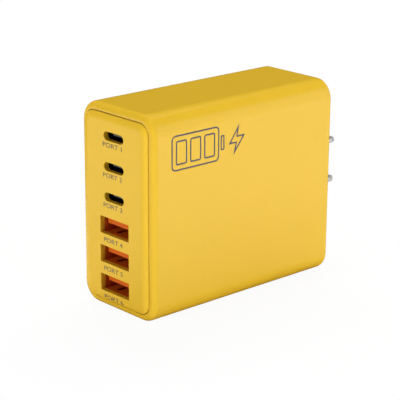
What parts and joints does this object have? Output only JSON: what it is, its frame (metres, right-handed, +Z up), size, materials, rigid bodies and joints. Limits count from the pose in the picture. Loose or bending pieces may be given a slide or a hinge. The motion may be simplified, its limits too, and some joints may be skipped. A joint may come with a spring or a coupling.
{
  "type": "usb-c wall charger",
  "caption": "Upright wall charger: rounded yellow housing, proud port plate with round-ended and rectangular charging sockets, flat mains blades out of the rear.",
  "frame": {"origin": "middle of the flat underside, halfway along the housing's depth", "axes": "+Z up, +Y out of the rear along the mains blades, -Y out of the port plate, X across the thickness"},
  "size_m": [0.0316, 0.0871, 0.06],
  "materials": {
    "shell_yellow": "satin gloss moulding",
    "plate_yellow": "fine satin moulding",
    "socket_steel": "nickel-plated sheet",
    "socket_orange": "moulded insulator",
    "socket_black": "moulded insulator",
    "contact_gold": "gold flash",
    "blade_metal": "nickel-plated",
    "carrier_black": "moulded",
    "strap_copper": "bright copper",
    "board_green": "solder resist",
    "core_ferrite": "sintered",
    "winding_tape": "polyester tape",
    "filter_box": "potted box",
    "safety_blue": "dipped resin",
    "can_sleeve": "shrink sleeve",
    "can_metal": "bare",
    "pad_grey": "soft pad",
    "film_amber": "thin film"
  },
  "bodies": {
    "root": {"blade_carrier": "carrier_black", "blade_lower": "blade_metal", "blade_upper": "blade_metal", "bridge_rectifier": "carrier_black", "bulk_capacitor_1": "can_sleeve", "bulk_capacitor_2": "can_sleeve", "choke_core": "core_ferrite", "choke_windings": "strap_copper", "contact_strap_lower": "strap_copper", "contact_strap_upper": "strap_copper", "filter_capacitor": "filter_box", "fuse": "carrier_black", "heat_spreader_left": "can_metal", "heat_spreader_right": "can_metal", "insulation_film_left": "film_amber", "insulation_film_right": "film_amber", "main_board": "board_green", "main_shell": "shell_yellow", "output_capacitor_1": "filter_box", "output_capacitor_2": "filter_box", "port_board": "board_green", "port_plate": "plate_yellow", "power_switch_1": "carrier_black", "power_switch_2": "carrier_black", "safety_capacitor": "safety_blue", "thermal_pad_left": "pad_grey", "thermal_pad_right": "pad_grey", "transformer_bobbin": "carrier_black", "transformer_core_lower": "core_ferrite", "transformer_core_upper": "core_ferrite", "transformer_winding": "winding_tape", "type_a_contacts_1": "contact_gold", "type_a_contacts_2": "contact_gold", "type_a_contacts_3": "contact_gold", "type_a_insulator_1": "socket_orange", "type_a_insulator_2": "socket_orange", "type_a_insulator_3": "socket_orange", "type_a_shell_1": "socket_steel", "type_a_shell_2": "socket_steel", "type_a_shell_3": "socket_steel", "type_c_contacts_1": "contact_gold", "type_c_contacts_2": "contact_gold", "type_c_contacts_3": "contact_gold", "type_c_insulator_1": "socket_black", "type_c_insulator_2": "socket_black", "type_c_insulator_3": "socket_black", "type_c_shell_1": "socket_steel", "type_c_shell_2": "socket_steel", "type_c_shell_3": "socket_steel"}
  },
  "joints": []
}
